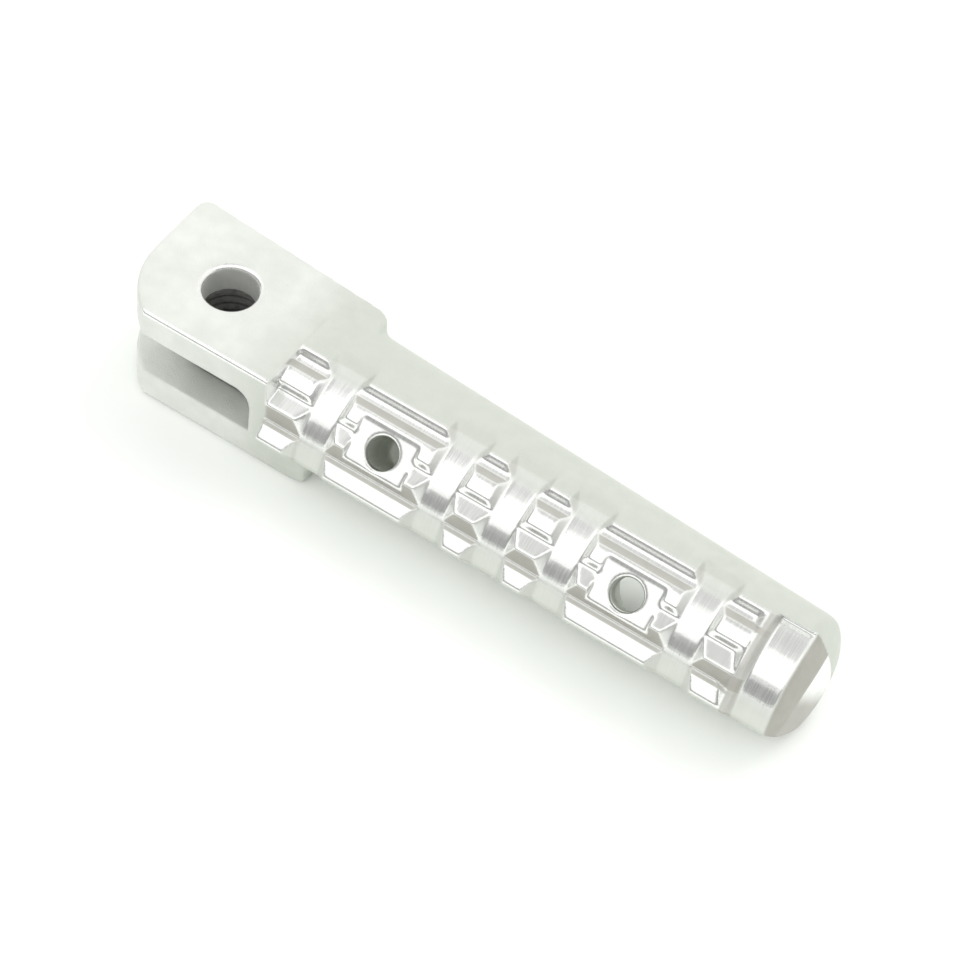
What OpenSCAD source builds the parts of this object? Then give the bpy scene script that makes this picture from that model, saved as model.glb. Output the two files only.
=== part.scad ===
// Folding foot peg for a motorcycle: a cast aluminium body with a forked head,
// and the return spring that sits round the pivot inside the fork.
// Millimetres. Origin: on the pivot bore's axis, halfway between the two ears.
// +X points to the tip and +Z runs along the bore.
// The tread has its own frame, turned 45 degrees about X: [back, up] across the peg.

/* [Head] */
// Distance over the two ears, along the bore
head_h = 18.2; // [17.8:0.1:18.6]
// Diameter of the pivot bore
bore_d = 8; // [7.6:0.1:8.4]
// Width of the chamfer at each mouth of the bore
bore_chamfer = 0.55; // [0.3:0.05:0.8]
// Radius of the rounded end of the ears, about the bore
ear_r = 13.2; // [13:0.1:13.4]
// Gap between the two ears
slot_w = 8; // [7.8:0.1:8.4]
// Distance from the bore to the closed end of the gap
slot_end = 11.3; // [10.8:0.1:11.6]
// Distance from the bore to the head's shoulder
head_end = 21.3; // [20.6:0.1:22]
// Distance from the bore to the front face of the ears
head_front = 11.1; // [11:0.05:11.3]
// Distance from the bore to the back face of the ears
head_back = 11.05; // [10.9:0.05:11.3]
// Angle by which the head's back face closes in towards the tip
head_draft = 3.9; // [3.5:0.1:4.2]
// Width of the chamfer along the head's front edges
edge_chamfer = 0.4; // [0.3:0.05:0.7]

/* [Tread] */
// Radius that the tips of the teeth lie on
tread_r = 13.1; // [13:0.05:13.2]
// Depth of the cross grooves below that radius
groove_depth = 1.5; // [1.3:0.05:1.6]
// Width of the floor of a cross groove
groove_floor = 3.9; // [3.5:0.1:4.1]
// Distance from one groove place to the next
pitch = 9.95; // [9.85:0.05:10]
// Distance from the bore to the first groove
first_groove = 22.3; // [22.1:0.1:22.5]
// Distance from the bore to the start of the teeth
tread_start = 14.2; // [13.9:0.1:14.5]
// Distance from the bore to the end of the last tooth row
tread_end = 90.4; // [90.2:0.1:90.6]

/* [Pads] */
// Length of a screw pad, along the peg
pad_l = 9.7; // [9.4:0.1:10]
// Width of a screw pad, across the peg
pad_w = 7; // [6.6:0.1:7.2]
// Diameter of the hole through a screw pad
pad_hole_d = 4.8; // [4.4:0.1:5]
// Depth of the blind hole in the inner screw pad
inner_depth = 9; // [7:0.5:10]
// Thickness of the wall under the outer screw pad
outer_wall = 3.6; // [3.2:0.1:4]
// Diameter of the recess for a screw's head, under the outer pad
recess_d = 10; // [9:0.2:10.4]

/* [Body] */
// Depth of the body below the tread's datum
body_depth = 6; // [5.6:0.1:6.4]
// Radius of the body's upper back corner
corner_r = 7.4; // [7.2:0.1:7.6]
// Angle by which the body's back closes in towards the tip
body_draft = 3.2; // [3:0.1:3.4]
// Distance from the bore to the end of the tip
tip_x = 100; // [99.6:0.1:100.4]

/* [Spring] */
// Diameter of the spring wire
wire_d = 1.5; // [1.3:0.1:1.5]
// Mean diameter of the spring's coil
coil_d = 11; // [10.6:0.1:11.4]
// Number of turns in the coil
coils = 4; // [3:1:4]

/* [Hidden] */
far = 60;
over = 1;
eps = 0.02;
round_fn = 96;

// Head
slot_top_r = 2.6;
shoulder_r = 1.7;
ear_corner_r = 1.8;

// Teeth in the tread's frame, from the back border to the foot of the last ledge
border = [4.72, 8.44];
teeth = [
    border, [4.35, 8.5],            // narrow land
    [3.25, 8.11], [2.4, 8.46],      // floor of the back valley
    [1.61, 9.77], [1.06, 10.07],    // shoulder of the middle tooth
    [-0.88, 10.51],                 // top of the middle tooth
    [-1.96, 9.64], [-2.18, 9.57],   // floor of the middle valley
    [-4.54, 10.88], [-4.79, 10.87], // crest
    [-6.83, 8.81], [-7.1, 8.71],    // floor of the front valley
    [-7.63, 9.16], [-9.95, 9.2]     // ledge
];
tread_axis = [-3.08, -2.09];
floor_r = tread_r - groove_depth;
groove_rows = [0, 2, 3, 4, 6];
// A cross groove's floor leaves its round path here and runs straight out of the body's top.
runout = [3.54, 7.42];
runout_angle = 13.7;
pad_rows = [1, 5];
pad_up = 9.9;
pad_back = -2.6;
pad_hole_back = -2.8;
pad_chamfer = 0.35;

// End of the tread: a narrow rim, a slope, then a plain round floor up to the domed tip.
// The floor ends at a low wall along the body's top.
rim_w = 0.5;
end_slope_run = 0.8;
rim_rise = 1.7;
end_wall_back = 4.95;
dome_r = 23.9;
rim_x = tread_end - 0.3;
// The tread without its valleys, from the back border to the foot of the ledge
plain_face = [border, [3, 9.6], [0.2, 10.65], [-3.1, 11.06], [-6.4, 10.62], [-9.95, 9.2]];

// Body
top_z = 9.33;
back_y = 9.75;
back_x = 20;
front_wall = [[-10.5, 8.6], [-10.9, 5], [-10.85, 2], [-9.9, -2.4], [-7.8, -5.4]];
front_foot = -7.2;

// Spring
turn_rise = 1.54;
steps_per_turn = 24;
wire_sides = 10;
leg_in = slot_end - 0.1;
leg_out = 10.5;

// Draws a shape on the plane across the peg, [back, up], as a bar along it.
module along(x0, x1) translate([x0, 0, 0]) rotate([90, 0, 90]) linear_extrude(x1 - x0) children();

module tread_frame() rotate([45, 0, 0]) children();

// A solid of revolution about the tread's axis, from points [distance along the peg, radius].
module turned(points) translate([0, tread_axis[0], tread_axis[1]]) rotate([0, 90, 0])
    rotate_extrude($fn = round_fn) polygon([for (p = points) [p[1], p[0]]]);

function row_x(row) = first_groove + row * pitch;

// ---- Head ----

function head_back_at(x) = head_back - x * tan(head_draft);

// Everything inside a round corner whose sides run along x and y; side is -1 or 1 along x.
module inside_corner(x, y, r, side) {
    translate([side > 0 ? x - r - far : x + r, -far]) square([far, 2 * far]);
    translate([-far, y - r - far]) square([2 * far, far]);
    translate([x - side * r, y - r]) circle(r = r, $fn = 48);
}

module head_outline() intersection() {
    union() {
        circle(r = ear_r, $fn = round_fn);
        translate([-ear_r, 0]) square([head_end + ear_r, far]);
        translate([0, -far]) square([head_end, 2 * far]);
    }
    translate([0, head_back]) rotate(-head_draft) translate([-far, -far]) square([2 * far, far]);
    translate([-far, -head_front]) square([2 * far, far]);
    inside_corner(-ear_r, head_back_at(-ear_r + ear_corner_r), ear_corner_r, -1);
    inside_corner(head_end, head_back_at(head_end - shoulder_r), shoulder_r, 1);
}

// The head stops short of the teeth with a wall that faces the tip.
module head() difference() {
    translate([0, 0, -head_h / 2]) linear_extrude(head_h) head_outline();
    tread_frame() along(tread_start, head_end + over)
        polygon(concat(teeth, [[teeth[len(teeth) - 1][0], far], [border[0], far]]));
}

// The chamfers along the head's two front edges.
module edge_cuts() for (side = [0, 1]) mirror([0, 0, side]) translate([0, -head_front, head_h / 2])
    rotate([45, 0, 0]) cube([2 * far, edge_chamfer * sqrt(2), edge_chamfer * sqrt(2)], center = true);

// The gap between the ears, with a round upper corner at its closed end.
module slot_cut() rotate([90, 0, 0]) translate([0, 0, -far]) linear_extrude(2 * far) union() {
    translate([-far, -slot_w / 2]) square([far + slot_end - slot_top_r, slot_w]);
    translate([0, -slot_w / 2]) square([slot_end, slot_w - slot_top_r]);
    translate([slot_end - slot_top_r, slot_w / 2 - slot_top_r]) circle(r = slot_top_r, $fn = 48);
}

module bore_cut() {
    mouth_r = bore_d / 2 + bore_chamfer + over;
    translate([0, 0, -far / 2]) cylinder(d = bore_d, h = far, $fn = round_fn);
    for (side = [0, 1]) mirror([0, 0, side]) translate([0, 0, head_h / 2 - bore_chamfer])
        cylinder(r1 = bore_d / 2, r2 = mouth_r, h = bore_chamfer + over, $fn = round_fn);
}

// ---- Body ----

// The tread side: teeth or a plain face, the front wall and the foot.
module tread_side(x0, x1, face) {
    back_part = [[far, -body_depth], [far, border[1] + 2], [border[0] + 2, border[1] + 2]];
    tread_frame() along(x0, x1) polygon(concat(face, front_wall, [[front_foot, -body_depth]], back_part));
}

// The back side: a flat top, a round corner and a back face that closes in towards the tip.
module back_side() translate([back_x, back_y, 0]) rotate([0, 0, -body_draft]) along(-far, 2 * far) union() {
    translate([-corner_r, top_z - corner_r]) circle(r = corner_r, $fn = round_fn);
    translate([-far, -far]) square([far, far + top_z - corner_r]);
    translate([-far, -far]) square([far - corner_r, far + top_z]);
}

// Everything up to the domed end of the tip.
module dome() tread_frame() translate([tip_x - dome_r, tread_axis[0], tread_axis[1]]) {
    sphere(r = dome_r, $fn = round_fn);
    translate([-2 * far, -far / 2, -far / 2]) cube([2 * far, far, far]);
}

// What a groove cutter may reach: all in front of a point, and behind it only what is above a ramp.
module runout_limit(point, angle) tread_frame() along(0, 2 * far) union() {
    translate([point[0] - 2 * far, -far]) square([2 * far, 2 * far]);
    translate(point) rotate(-angle) translate([-far, 0]) square([2 * far, far]);
}

module groove_cut(x) intersection() {
    w = groove_floor / 2;
    top = groove_depth + over;
    tread_frame() turned([
        [x - w, floor_r], [x + w, floor_r], [x + w + top, floor_r + top], [x - w - top, floor_r + top]]);
    runout_limit(runout, runout_angle);
}

// The plain end of the tread, cut down to the floor's radius beyond the rim.
module end_cut() intersection() {
    x = tread_end + rim_w;
    top = groove_depth + over;
    tread_frame() turned([
        [x + end_slope_run, floor_r], [tip_x + over, floor_r],
        [tip_x + over, floor_r + top], [x - over * end_slope_run / groove_depth, floor_r + top]]);
    tread_frame() translate([0, end_wall_back - 2 * far, -far]) cube(2 * far);
}

// The valleys' floors climb to the rim at the end of the last tooth row.
module rim_ramp() tread_frame() turned([
    [rim_x - rim_rise - over, 0], [rim_x - rim_rise - over, floor_r - over],
    [rim_x, tread_r], [rim_x + 0.1, tread_r + over], [tread_end, tread_r + over], [tread_end, 0]]);

// A screw pad stands in the tread as an island with a flat top.
module pad_block() along(-pad_l / 2, pad_l / 2)
    translate([pad_back - pad_w / 2, 0]) square([pad_w, pad_up]);

module pad_clear() along(-pad_l / 2, pad_l / 2)
    translate([pad_back - pad_w / 2, pad_up]) square([pad_w, far]);

module at_pads(rows) for (row = rows) translate([row_x(row), 0, 0]) tread_frame() children();

// A screw hole down from a pad's top, with a chamfered mouth.
module pad_hole(depth) translate([0, pad_hole_back, pad_up]) {
    mouth_d = pad_hole_d + 2 * (pad_chamfer + over);
    translate([0, 0, -depth]) cylinder(d = pad_hole_d, h = depth + over, $fn = 64);
    translate([0, 0, -pad_chamfer])
        cylinder(d1 = pad_hole_d, d2 = mouth_d, h = pad_chamfer + over, $fn = 64);
}

// A wide recess from below for a screw's head, up to a wall under the pad.
module screw_recess(wall) translate([0, pad_hole_back, pad_up - wall - far])
    cylinder(d = recess_d, h = far, $fn = 64);

module shell() intersection() {
    union() {
        difference() {
            tread_side(tread_start, tread_end, teeth);
            at_pads(pad_rows) pad_clear();
        }
        at_pads(pad_rows) pad_block();
        intersection() {
            rim_ramp();
            tread_side(tread_start, tread_end + over, plain_face);
        }
        tread_side(tread_end - eps, tip_x + over, plain_face);
    }
    back_side();
    dome();
}

module peg_body() color("gainsboro") difference() {
    union() {
        head();
        shell();
    }
    edge_cuts();
    slot_cut();
    bore_cut();
    for (row = groove_rows) groove_cut(row_x(row));
    end_cut();
    at_pads([pad_rows[0]]) pad_hole(inner_depth);
    at_pads([pad_rows[1]]) {
        pad_hole(outer_wall + over);
        screw_recess(outer_wall);
    }
}

// ---- Return spring ----

function coil_point(i) = let (a = i * 360 / steps_per_turn)
    [coil_d / 2 * sin(a), -coil_d / 2 * cos(a), (coils / 2 - i / steps_per_turn) * turn_rise];

spring_path = concat(
    [[-leg_out, -coil_d / 2, coils / 2 * turn_rise]],
    [for (i = [0 : coils * steps_per_turn]) coil_point(i)],
    [[leg_in, -coil_d / 2, -coils / 2 * turn_rise]]);

// A round wire along a list of points.
module wire(points, d, sides) {
    last = len(points) - 1;
    rings = [for (i = [0 : last])
        let (t = points[min(i + 1, last)] - points[max(i - 1, 0)])
        let (n = cross([0, 0, 1], t) / norm(cross([0, 0, 1], t)))
        let (b = cross(t, n) / norm(t))
        for (k = [0 : sides - 1]) points[i] + d / 2 * (cos(k * 360 / sides) * n + sin(k * 360 / sides) * b)];
    walls = [for (i = [0 : last - 1]) for (k = [0 : sides - 1])
        let (a = i * sides + k)
        let (b = i * sides + (k + 1) % sides)
        [a, b, b + sides, a + sides]];
    ends = [[for (k = [sides - 1 : -1 : 0]) k], [for (k = [0 : sides - 1]) last * sides + k]];
    polyhedron(rings, concat(walls, ends));
}

module return_spring() color("dimgray") wire(spring_path, wire_d, wire_sides);

peg_body();
return_spring();
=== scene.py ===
"""Looks for the foot peg: rounded edges and bare metal on the casting, studio light and the camera."""
import math

import bpy
import numpy as np
from mathutils import Matrix, Vector


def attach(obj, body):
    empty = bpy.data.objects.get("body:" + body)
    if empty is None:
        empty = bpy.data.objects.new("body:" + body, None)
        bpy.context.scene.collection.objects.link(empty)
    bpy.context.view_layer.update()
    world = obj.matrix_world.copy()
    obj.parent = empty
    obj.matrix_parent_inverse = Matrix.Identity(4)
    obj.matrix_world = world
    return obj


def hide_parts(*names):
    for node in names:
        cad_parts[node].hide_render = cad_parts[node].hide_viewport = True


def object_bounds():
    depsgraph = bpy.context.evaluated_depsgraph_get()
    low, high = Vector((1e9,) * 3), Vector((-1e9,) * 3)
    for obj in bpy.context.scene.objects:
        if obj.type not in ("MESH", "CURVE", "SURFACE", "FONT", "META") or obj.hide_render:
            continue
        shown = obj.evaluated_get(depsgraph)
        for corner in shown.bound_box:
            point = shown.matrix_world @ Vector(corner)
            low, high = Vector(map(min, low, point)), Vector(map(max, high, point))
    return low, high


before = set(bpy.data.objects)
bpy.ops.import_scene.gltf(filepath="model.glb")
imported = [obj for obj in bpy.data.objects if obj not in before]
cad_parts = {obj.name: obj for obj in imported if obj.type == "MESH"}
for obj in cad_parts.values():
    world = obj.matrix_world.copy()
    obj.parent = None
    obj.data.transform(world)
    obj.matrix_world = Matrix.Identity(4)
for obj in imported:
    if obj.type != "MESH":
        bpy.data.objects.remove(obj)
cad_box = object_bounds()

MM = 0.001

# ---- The peg's own places, in millimetres, in the frame of part.scad ----
# Back and up are measured across the peg, in the tread's frame.

# Head
BORE_R = 4.0
HEAD_TOP = 9.1
HEAD_FRONT = 11.1
HEAD_FADE = (6.0, 17.0)          # x where the head's finish starts to fade, and where it ends

# Tread
TREAD_AXIS = (-3.08, -2.09)      # back and up
TREAD_START = 14.2
TREAD_BORDER = 4.72              # back edge of the machined top
END_BORDER_STEP = 0.3            # how much further back that edge lies on the end floor
LEDGE_END = -10.1                # front edge of the ledge
FLOOR_R = 11.6                   # radius of the grooves' floors
FIRST_GROOVE = 22.3
PITCH = 9.95
GROOVE_X = [FIRST_GROOVE + PITCH * row for row in (0, 2, 3, 4, 6)]
GROOVE_HALF = 1.95
PAD_X = [FIRST_GROOVE + PITCH * row for row in (1, 5)]
PAD_BACK = -2.6
PAD_SIZE = (9.7, 7.0)
TREAD_MIDDLE = 55.0
WALLS_REACH = 35.0               # half of the length over which groove walls get painted shade
WALLS_FOOT = (4.0, 5.0)          # up where they start
WALLS_BACK = (6.6, 7.0)          # back where they end
LOW_FLOOR_SHADE = (5.6, 8.0)           # how far forward the painted shade on the grooves' low floors starts, and is in full
RUN_OUT = (2.2, 3.6)             # how far back their run-outs start, and are in full

# Tip
END_WALL_X = 90.95
END_WALL_HALF = 0.7
END_FLOOR_X = 91.5
TIP_STRIP_X = 96.9
STRIP_EDGE = (4.95, 6.28, 0.65)  # back, up and slope of the strip's far edge
TIP_LENS_X = 97.9
LENS_TOP = 5.4
LENS_BACK = -5.0
LENS_BOW = 0.05
LENS_SHADE = (1.5, 5.5)          # how far forward the lens starts to darken, and is darkest

# ---- Finish ----
VOXEL = 0.24 * MM
CRISP_PASSES = 6
CAST_PASSES = 60
CRISP_BACK = -1.7                # middle and half width of the band with crisp edges across the tread
CRISP_HALF = 8.8
CRISP_FOOT = (4.0, 6.0)          # up where that band starts
CRISP_END = (96.0, 97.0)         # x where it ends at the tip
CRISP_HEAD = (19.0, 20.5)        # x where the head's crisp edges end
BLUR = 0.1                       # width over which one finish runs into the next, in millimetres

# Flanks of the teeth with painted shade: centre and half width across the tread, and how much
SHADED_FLANKS = ((2.0, 0.42, 0.85), (-5.85, 0.95, 0.97), (-7.4, 0.25, 0.8))
# how much painted shade the end wall of the tread gets
END_WALL_SHADE = 0.75
# how much painted shade the groove walls get
GROOVE_WALL_SHADE = 0.32
HEAD_FACING_WALL_SHADE = 0.4           # how much painted shade a wall that faces the head gets, next to one that faces the tip
SHADE_AND_CAST_LEFT = 0.75              # how much the machined finish gives way to the cast one: as painted shade on the low floors, as cast finish left on the run-outs
BORE_BRIGHT = 0.25

CAST_COLOURS = ((0.62, 0.64, 0.59, 1), (0.68, 0.70, 0.65, 1))
HEAD_COLOURS = ((0.78, 0.79, 0.76, 1), (0.85, 0.855, 0.83, 1))
BLOTCH_COLOUR = (0.64, 0.66, 0.61, 1)
TURNED_COLOURS = ((0.86, 0.86, 0.85, 1), (0.95, 0.95, 0.94, 1))
# colours of the painted shade
SHADE_COLOURS = ((0.43, 0.415, 0.38, 1), (0.49, 0.475, 0.44, 1))
WIRE_COLOURS = ((0.13, 0.13, 0.13, 1), (0.19, 0.185, 0.175, 1))
FLOOR_COLOUR = (0.93, 0.945, 0.93, 1)

# Detail of the surfaces, in cycles per metre
GRAIN = 5200
MOTTLE = 420
BLOTCH = 90
TOOL_MARKS = 900
TOOL_STRETCH = (6.0, 0.25, 0.25)
OIL_FILM = 700
WIRE_GRAIN = 3000

# ---- Sky, lights and camera ----
# Brightness of the sky by the z of the direction: 0 is the horizon and below it, 1 is straight up
SKY_FRONT = ((0.0, 0.28), (0.41, 0.30), (0.50, 0.95), (0.92, 0.95), (0.955, 0.55), (1.0, 0.52))
SKY_BEHIND = ((0.0, 0.65), (0.3, 0.80), (0.88, 0.82), (0.955, 0.55), (1.0, 0.52))
SKY_SIDE = (-0.10, 0.20)         # y of the direction where the front sky starts to fade, and where it ends
SKY_STRENGTH = 1.35
SKY_TINT = (0.99, 1.0, 0.98)
LIGHT_TARGET = (0.045, 0, 0)
FLOOR_REACH = 2.0

CAMERA_TURN = 25.47              # degrees to the right of the front
CAMERA_RISE = 52.15              # degrees above the floor
CAMERA_ROLL = 9.28
CAMERA_PLACE = (0.14815, -0.21962, 0.31159)
CAMERA_LENS = 105.6


# ---- Casting: one clean mesh with rounded edges ----

def copy_of(source, name):
    piece = bpy.data.objects.new(name, source.data.copy())
    bpy.context.scene.collection.objects.link(piece)
    return piece


def apply_modifiers(piece):
    graph = bpy.context.evaluated_depsgraph_get()
    mesh = bpy.data.meshes.new_from_object(piece.evaluated_get(graph))
    piece.modifiers.clear()
    piece.data = mesh


def vertex_places(mesh):
    places = np.empty(len(mesh.vertices) * 3)
    mesh.vertices.foreach_get("co", places)
    return places.reshape(-1, 3) / MM


def vertex_normals(mesh):
    normals = np.empty(len(mesh.vertices) * 3)
    mesh.vertices.foreach_get("normal", normals)
    return normals.reshape(-1, 3)


def tread_coords(places):
    """Back and up in the tread's frame, which is turned 45 degrees about X."""
    half = math.sqrt(0.5)
    return (places[:, 1] + places[:, 2]) * half, (places[:, 2] - places[:, 1]) * half


def smooth_step(value, low, high):
    t = np.clip((value - low) / (high - low), 0, 1)
    return t * t * (3 - 2 * t)


def near(value, centre, half, soft):
    """1 inside centre +- half, falling to 0 over soft."""
    return 1 - smooth_step(np.abs(value - centre), half, half + soft)


def teeth_rows(x, back, radius):
    """1 along the tooth rows, 0 in the cross grooves and on the screw pads."""
    groove = np.min([np.abs(x - place) for place in GROOVE_X], axis=0)
    rows = smooth_step(groove - GROOVE_HALF - np.maximum(radius - FLOOR_R, 0), 0.05, 0.25)
    pad_length, pad_width = PAD_SIZE
    for place in PAD_X:
        rows *= 1 - near(x, place, pad_length / 2, BLUR) * near(back, PAD_BACK, pad_width / 2, BLUR)
    return rows


def machined_top(x, back, radius):
    """1 on the tread's machined top, whatever the place along the peg."""
    border = TREAD_BORDER + np.where(x > END_FLOOR_X, END_BORDER_STEP, 0.0)
    above_floor = smooth_step(radius, FLOOR_R - 0.9, FLOOR_R - 0.4)
    return above_floor * (1 - smooth_step(back, border - 0.1, border + 0.3))


def tread_length(x, back):
    """1 from the start of the teeth to the tip's strip, behind the front edge of the ledge."""
    length = smooth_step(x, TREAD_START - 0.3, TREAD_START + 0.2)
    length *= 1 - smooth_step(x, TIP_STRIP_X - 0.4, TIP_STRIP_X)
    return length * smooth_step(back, LEDGE_END - 0.2, LEDGE_END + 0.1)


def groove_walls(x, back, up, tip_normal):
    """Painted shade on the side walls of the cross grooves, strongest where they face the tip."""
    walls = smooth_step(tip_normal, 0.35, 0.6) + HEAD_FACING_WALL_SHADE * smooth_step(-tip_normal, 0.35, 0.6)
    walls *= near(x, TREAD_MIDDLE, WALLS_REACH, 0.2)
    return walls * smooth_step(up, *WALLS_FOOT) * (1 - smooth_step(back, *WALLS_BACK))


def shade_places(x, back, up, rows, end_wall, walls):
    # painted shade on the end wall, on some tooth flanks and on the groove walls
    painted_shade = END_WALL_SHADE * end_wall
    for centre, half, amount in SHADED_FLANKS:
        painted_shade = np.maximum(painted_shade, amount * rows * near(back, centre, half, BLUR) * (x < END_FLOOR_X))
    return np.maximum(painted_shade, GROOVE_WALL_SHADE * walls)


def bright_head(places):
    """The bore's wall, the chamfer at its mouth and the one along the front edge."""
    x = places[:, 0]
    across = np.hypot(x, places[:, 1])
    bore = BORE_BRIGHT * (1 - smooth_step(across, BORE_R + 0.1, BORE_R + 0.2))
    mouth = near(across, BORE_R + 0.3, 0.25, 0.15)
    mouth *= smooth_step(np.abs(places[:, 2]), HEAD_TOP - 0.8, HEAD_TOP - 0.5)
    edge = near(places[:, 1] - places[:, 2], -HEAD_FRONT - HEAD_TOP + 0.4, 0.2, 0.1)
    edge *= 1 - smooth_step(x, TREAD_START - 0.2, TREAD_START)
    return np.maximum.reduce([bore, mouth, edge])


def tip_masks(x, back, up):
    """The tip's end in front of the strip's far edge: the strip, which gets painted shade, and the bright
    lens below it.
    """
    edge_back, edge_up, edge_slope = STRIP_EDGE
    in_front = 1 - smooth_step(back - edge_back - edge_slope * (up - edge_up), -BLUR, BLUR)
    lens_top = LENS_TOP - LENS_BOW * (back - LENS_BACK) ** 2
    lens = smooth_step(x, TIP_LENS_X - 0.05, TIP_LENS_X + 0.05)
    lens *= 1 - smooth_step(up - lens_top, -BLUR, BLUR)
    lens *= in_front
    strip = smooth_step(x, TIP_STRIP_X - 0.2, TIP_STRIP_X + 0.1) * in_front
    return strip, lens


def masks(places, normals):
    """Where the metal is machined bright, where shade is painted on it, and where the head is."""
    x = places[:, 0]
    back, up = tread_coords(places)
    radius = np.hypot(back - TREAD_AXIS[0], up - TREAD_AXIS[1])
    top = machined_top(x, back, radius)
    tread = tread_length(x, back) * top
    rows = teeth_rows(x, back, radius) * tread

    # painted shade on the end wall before the end floor
    end_wall = near(x, END_WALL_X, END_WALL_HALF, 0.15) * top * smooth_step(up, 0.0, 1.0)
    walls = groove_walls(x, back, up, normals[:, 0])
    painted_shade = shade_places(x, back, up, rows, end_wall, walls)
    # painted shade on the grooves' low floors, which mirror the shadowed floor in front
    shaded_low_floor = smooth_step(-back, *LOW_FLOOR_SHADE) * (1 - rows * (x < END_FLOOR_X))
    run_out = smooth_step(back, *RUN_OUT) * (1 - rows) * (x < END_WALL_X)
    tread *= 1 - np.maximum(painted_shade, SHADE_AND_CAST_LEFT * np.maximum(shaded_low_floor, run_out))

    strip, lens = tip_masks(x, back, up)
    shade = smooth_step(-back, *LENS_SHADE)
    bright = np.maximum.reduce([tread, bright_head(places), lens * (1 - 0.9 * shade)])
    # painted shade on the tip's strip, and on the lens where it darkens forward
    painted_shade = np.maximum(strip * np.maximum(1 - lens, shade), painted_shade)
    head = 1 - smooth_step(x, *HEAD_FADE)
    return bright, painted_shade, head


def cast_weight(places):
    """How strongly the smoothing rounds an edge: cast edges are softer than machined ones."""
    x = places[:, 0]
    back, up = tread_coords(places)
    tread = near(back, CRISP_BACK, CRISP_HALF, 0.4) * smooth_step(up, *CRISP_FOOT)
    tread *= 1 - smooth_step(x, *CRISP_END)
    head = 1 - smooth_step(x, *CRISP_HEAD)
    return np.clip(1 - np.maximum(tread, head), 0, 1)


def remesh(piece):
    skin = piece.modifiers.new("skin", "REMESH")
    skin.mode = "VOXEL"
    skin.voxel_size = VOXEL
    skin.adaptivity = 0
    skin.use_smooth_shade = True
    apply_modifiers(piece)


def round_edges(piece):
    """Smooths the whole skin a little, and the cast edges much more."""
    group = piece.vertex_groups.new(name="cast_edges")
    weights = cast_weight(vertex_places(piece.data))
    for level in np.arange(1, 11) / 10:
        chosen = np.nonzero(np.abs(weights - level) <= 0.05)[0]
        group.add(chosen.tolist(), float(level), "REPLACE")
    for name, passes, group_name in (("machined_edges", CRISP_PASSES, ""),
                                     ("cast_edges", CAST_PASSES, group.name)):
        smoothing = piece.modifiers.new(name, "SMOOTH")
        smoothing.factor = 0.5
        smoothing.iterations = passes
        smoothing.vertex_group = group_name
    apply_modifiers(piece)


def make_casting():
    piece = copy_of(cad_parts["peg_body"], "peg_casting")
    remesh(piece)
    round_edges(piece)
    finish = masks(vertex_places(piece.data), vertex_normals(piece.data))
    for name, values in zip(("bright", "painted_shade", "head"), finish):
        layer = piece.data.attributes.new(name, "FLOAT", "POINT")
        layer.data.foreach_set("value", values.astype(np.float32))
    return piece


# ---- Materials ----

class Nodes:
    """Short ways to add and link shader nodes."""

    def __init__(self, material):
        material.use_nodes = True
        self.tree = material.node_tree
        self.tree.nodes.clear()

    def add(self, kind, **settings):
        node = self.tree.nodes.new(kind)
        for key, value in settings.items():
            setattr(node, key, value)
        return node

    def link(self, source, target):
        self.tree.links.new(source, target)

    def feed(self, socket, value):
        if isinstance(value, (int, float, tuple)):
            socket.default_value = value
        else:
            self.link(value, socket)

    def math(self, operation, a, b):
        node = self.add("ShaderNodeMath", operation=operation)
        for socket, value in zip(node.inputs, (a, b)):
            self.feed(socket, value)
        return node.outputs[0]

    def mix(self, factor, a, b):
        node = self.add("ShaderNodeMix", data_type="RGBA")
        self.feed(node.inputs["Factor"], factor)
        self.feed(node.inputs[6], a)
        self.feed(node.inputs[7], b)
        return node.outputs[2]

    def span(self, value, low, high, to_low, to_high):
        node = self.add("ShaderNodeMapRange")
        for socket, number in zip(node.inputs, (value, low, high, to_low, to_high)):
            self.feed(socket, number)
        return node.outputs[0]

    def place(self):
        return self.add("ShaderNodeTexCoord").outputs["Object"]

    def mask(self, name):
        return self.add("ShaderNodeAttribute", attribute_name=name).outputs["Fac"]

    def noise(self, place, scale, detail=3.0, stretch=None):
        if stretch:
            mapping = self.add("ShaderNodeMapping")
            mapping.inputs["Scale"].default_value = stretch
            self.link(place, mapping.inputs["Vector"])
            place = mapping.outputs[0]
        node = self.add("ShaderNodeTexNoise")
        self.link(place, node.inputs["Vector"])
        node.inputs["Scale"].default_value = scale
        node.inputs["Detail"].default_value = detail
        return node.outputs["Fac"]

    def bump(self, height, depth, strength, under=None):
        node = self.add("ShaderNodeBump")
        node.inputs["Distance"].default_value = depth
        self.feed(node.inputs["Strength"], strength)
        self.link(height, node.inputs["Height"])
        if under is not None:
            self.link(under, node.inputs["Normal"])
        return node.outputs[0]

    def output(self, shader):
        self.link(shader.outputs[0], self.add("ShaderNodeOutputMaterial").inputs["Surface"])


def metal_colour(n, mottle, blotch, tool, bright, painted_shade, head):
    spots = n.span(mottle, 0.3, 0.7, 0.0, 1.0)
    cast = n.mix(head, n.mix(spots, *CAST_COLOURS), n.mix(spots, *HEAD_COLOURS))
    cast = n.mix(n.span(blotch, 0.35, 0.7, 0.0, 0.5), cast, BLOTCH_COLOUR)
    turned = n.mix(n.span(tool, 0.3, 0.7, 0.0, 1.0), *TURNED_COLOURS)
    # painted shade: the shade colours replace the cast colour where that mask is set
    return n.mix(bright, n.mix(painted_shade, cast, n.mix(spots, *SHADE_COLOURS)), turned)


def metal_roughness(n, mottle, tool, bright):
    rough_cast = n.span(mottle, 0.2, 0.8, 0.50, 0.64)
    rough_turned = n.span(tool, 0.2, 0.8, 0.15, 0.25)
    return n.math("ADD", n.math("MULTIPLY", rough_turned, bright),
                  n.math("MULTIPLY", rough_cast, n.math("SUBTRACT", 1.0, bright)))


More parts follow.
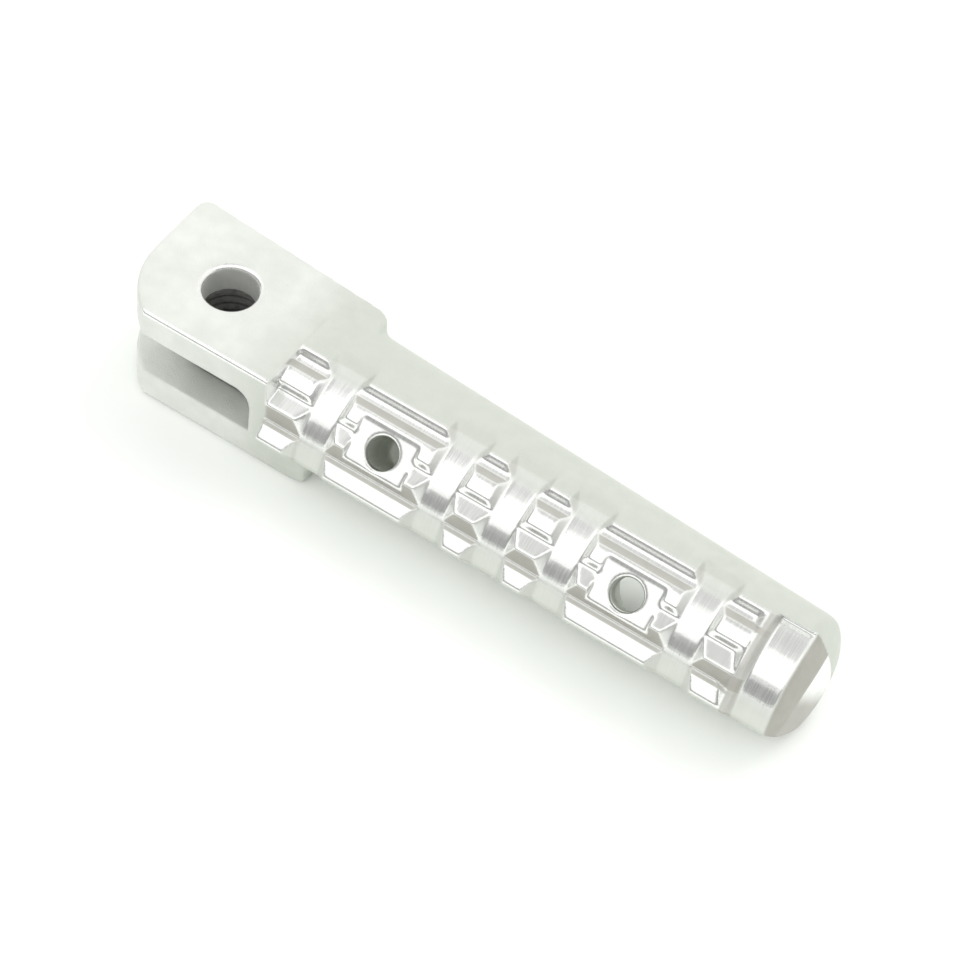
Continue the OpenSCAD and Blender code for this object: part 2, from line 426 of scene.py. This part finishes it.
def metal_material(name):
    """Pebbled cast aluminium, with tool marks where it is machined bright and painted shade in the darker
    places.
    """
    material = bpy.data.materials.new(name)
    n = Nodes(material)
    place = n.place()
    bright = n.mask("bright")
    mottle = n.noise(place, MOTTLE, 4.0)
    tool = n.noise(place, TOOL_MARKS, 2.0, stretch=TOOL_STRETCH)

    shader = n.add("ShaderNodeBsdfPrincipled")
    colour = metal_colour(n, mottle, n.noise(place, BLOTCH), tool, bright, n.mask("painted_shade"), n.mask("head"))
    n.link(colour, shader.inputs["Base Color"])
    n.link(n.span(bright, 0.0, 1.0, 0.55, 1.0), shader.inputs["Metallic"])
    n.link(metal_roughness(n, mottle, tool, bright), shader.inputs["Roughness"])

    pebbles = n.math("ADD", n.noise(place, GRAIN, 2.0), n.math("MULTIPLY", mottle, 1.5))
    cast_only = n.math("SUBTRACT", 1.0, n.math("MULTIPLY", bright, 0.9))
    skin = n.bump(pebbles, 0.05 * MM, cast_only)
    marks = n.bump(tool, 0.01 * MM, n.math("MULTIPLY", bright, 0.6), under=skin)
    n.link(marks, shader.inputs["Normal"])
    n.output(shader)
    return material


def wire_material(name):
    """Oiled black wire."""
    material = bpy.data.materials.new(name)
    n = Nodes(material)
    place = n.place()
    film = n.noise(place, OIL_FILM, 4.0)
    shader = n.add("ShaderNodeBsdfPrincipled")
    shader.inputs["Specular IOR Level"].default_value = 0.15
    n.link(n.mix(n.span(film, 0.35, 0.7, 0.0, 1.0), *WIRE_COLOURS), shader.inputs["Base Color"])
    n.link(n.span(film, 0.3, 0.7, 0.6, 0.8), shader.inputs["Roughness"])
    n.link(n.bump(n.noise(place, WIRE_GRAIN, 2.0), 0.02 * MM, 0.4), shader.inputs["Normal"])
    n.output(shader)
    return material


def floor_material():
    material = bpy.data.materials.new("pale_floor")
    n = Nodes(material)
    shader = n.add("ShaderNodeBsdfPrincipled")
    shader.inputs["Base Color"].default_value = FLOOR_COLOUR
    shader.inputs["Roughness"].default_value = 0.7
    shader.inputs["Specular IOR Level"].default_value = 0.2
    n.output(shader)
    return material


def shade_smooth(piece):
    piece.data.polygons.foreach_set("use_smooth", [True] * len(piece.data.polygons))


def give(piece, material):
    piece.data.materials.clear()
    piece.data.materials.append(material)


# ---- Stage, light and camera ----

def make_floor():
    low = min(p[2] for p in cad_box)
    corners = [(x * FLOOR_REACH, y * FLOOR_REACH, low) for x, y in ((-1, -1), (1, -1), (1, 1), (-1, 1))]
    mesh = bpy.data.meshes.new("floor")
    mesh.from_pydata(corners, [], [(0, 1, 2, 3)])
    floor = bpy.data.objects.new("floor", mesh)
    bpy.context.scene.collection.objects.link(floor)
    give(floor, floor_material())


def grey_ramp(tree, height, stops):
    ramp = tree.nodes.new("ShaderNodeValToRGB")
    ramp.color_ramp.elements[0].position = stops[0][0]
    ramp.color_ramp.elements[1].position = stops[-1][0]
    for position, _ in stops[1:-1]:
        ramp.color_ramp.elements.new(position)
    for element, (_, value) in zip(ramp.color_ramp.elements, stops):
        element.color = [value * tint for tint in SKY_TINT] + [1]
    tree.links.new(height, ramp.inputs["Fac"])
    return ramp.outputs["Color"]


def make_sky():
    """In front a white band above a dark horizon, behind an even pale grey, and mid grey overhead."""
    world = bpy.data.worlds.new("studio")
    bpy.context.scene.world = world
    world.use_nodes = True
    tree = world.node_tree
    tree.nodes.clear()
    split = tree.nodes.new("ShaderNodeSeparateXYZ")
    tree.links.new(tree.nodes.new("ShaderNodeTexCoord").outputs["Generated"], split.inputs[0])
    side = tree.nodes.new("ShaderNodeMapRange")
    side.inputs["From Min"].default_value, side.inputs["From Max"].default_value = SKY_SIDE
    tree.links.new(split.outputs["Y"], side.inputs["Value"])
    mix = tree.nodes.new("ShaderNodeMix")
    mix.data_type = "RGBA"
    tree.links.new(side.outputs[0], mix.inputs["Factor"])
    tree.links.new(grey_ramp(tree, split.outputs["Z"], SKY_FRONT), mix.inputs[6])
    tree.links.new(grey_ramp(tree, split.outputs["Z"], SKY_BEHIND), mix.inputs[7])
    sky = tree.nodes.new("ShaderNodeBackground")
    sky.inputs["Strength"].default_value = SKY_STRENGTH
    tree.links.new(mix.outputs[2], sky.inputs["Color"])
    tree.links.new(sky.outputs[0], tree.nodes.new("ShaderNodeOutputWorld").inputs["Surface"])


def make_light(name, place, size, power):
    """A wide soft lamp aimed at the peg. The metal mirrors the sky and the floor, but no lamp."""
    data = bpy.data.lights.new(name, "AREA")
    data.size = size
    data.energy = power
    lamp = bpy.data.objects.new(name, data)
    lamp.location = place
    lamp.rotation_euler = (Vector(LIGHT_TARGET) - Vector(place)).to_track_quat("-Z", "Y").to_euler()
    lamp.visible_glossy = False
    bpy.context.scene.collection.objects.link(lamp)


def make_camera():
    """Looks from in front, to the right and from above, with a slight roll."""
    turn, rise, roll = (math.radians(angle) for angle in (CAMERA_TURN, CAMERA_RISE, CAMERA_ROLL))
    to_camera = Vector((math.sin(turn) * math.cos(rise), -math.cos(turn) * math.cos(rise), math.sin(rise)))
    level = Vector((math.cos(turn), math.sin(turn), 0))
    upright = to_camera.cross(level)
    right = math.cos(roll) * level + math.sin(roll) * upright
    up = -math.sin(roll) * level + math.cos(roll) * upright
    camera = bpy.data.objects.new("camera", bpy.data.cameras.new("camera"))
    camera.data.sensor_width = 36
    camera.data.lens = CAMERA_LENS
    camera.data.clip_start = 0.01
    facing = Matrix((right, up, to_camera)).transposed().to_4x4()
    camera.matrix_world = Matrix.Translation(CAMERA_PLACE) @ facing
    bpy.context.scene.collection.objects.link(camera)
    bpy.context.scene.camera = camera


casting = make_casting()
give(casting, metal_material("cast_aluminium_skin"))
shade_smooth(casting)
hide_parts("peg_body")
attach(casting, "root")

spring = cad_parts["return_spring"]
give(spring, wire_material("spring_wire"))

make_floor()
make_sky()
make_light("key", (0.20, 0.60, 0.65), size=0.5, power=1.8)
make_light("fill", (0.05, -0.65, 0.55), size=0.6, power=1.6)
make_camera()
bpy.context.scene.view_settings.view_transform = "Standard"
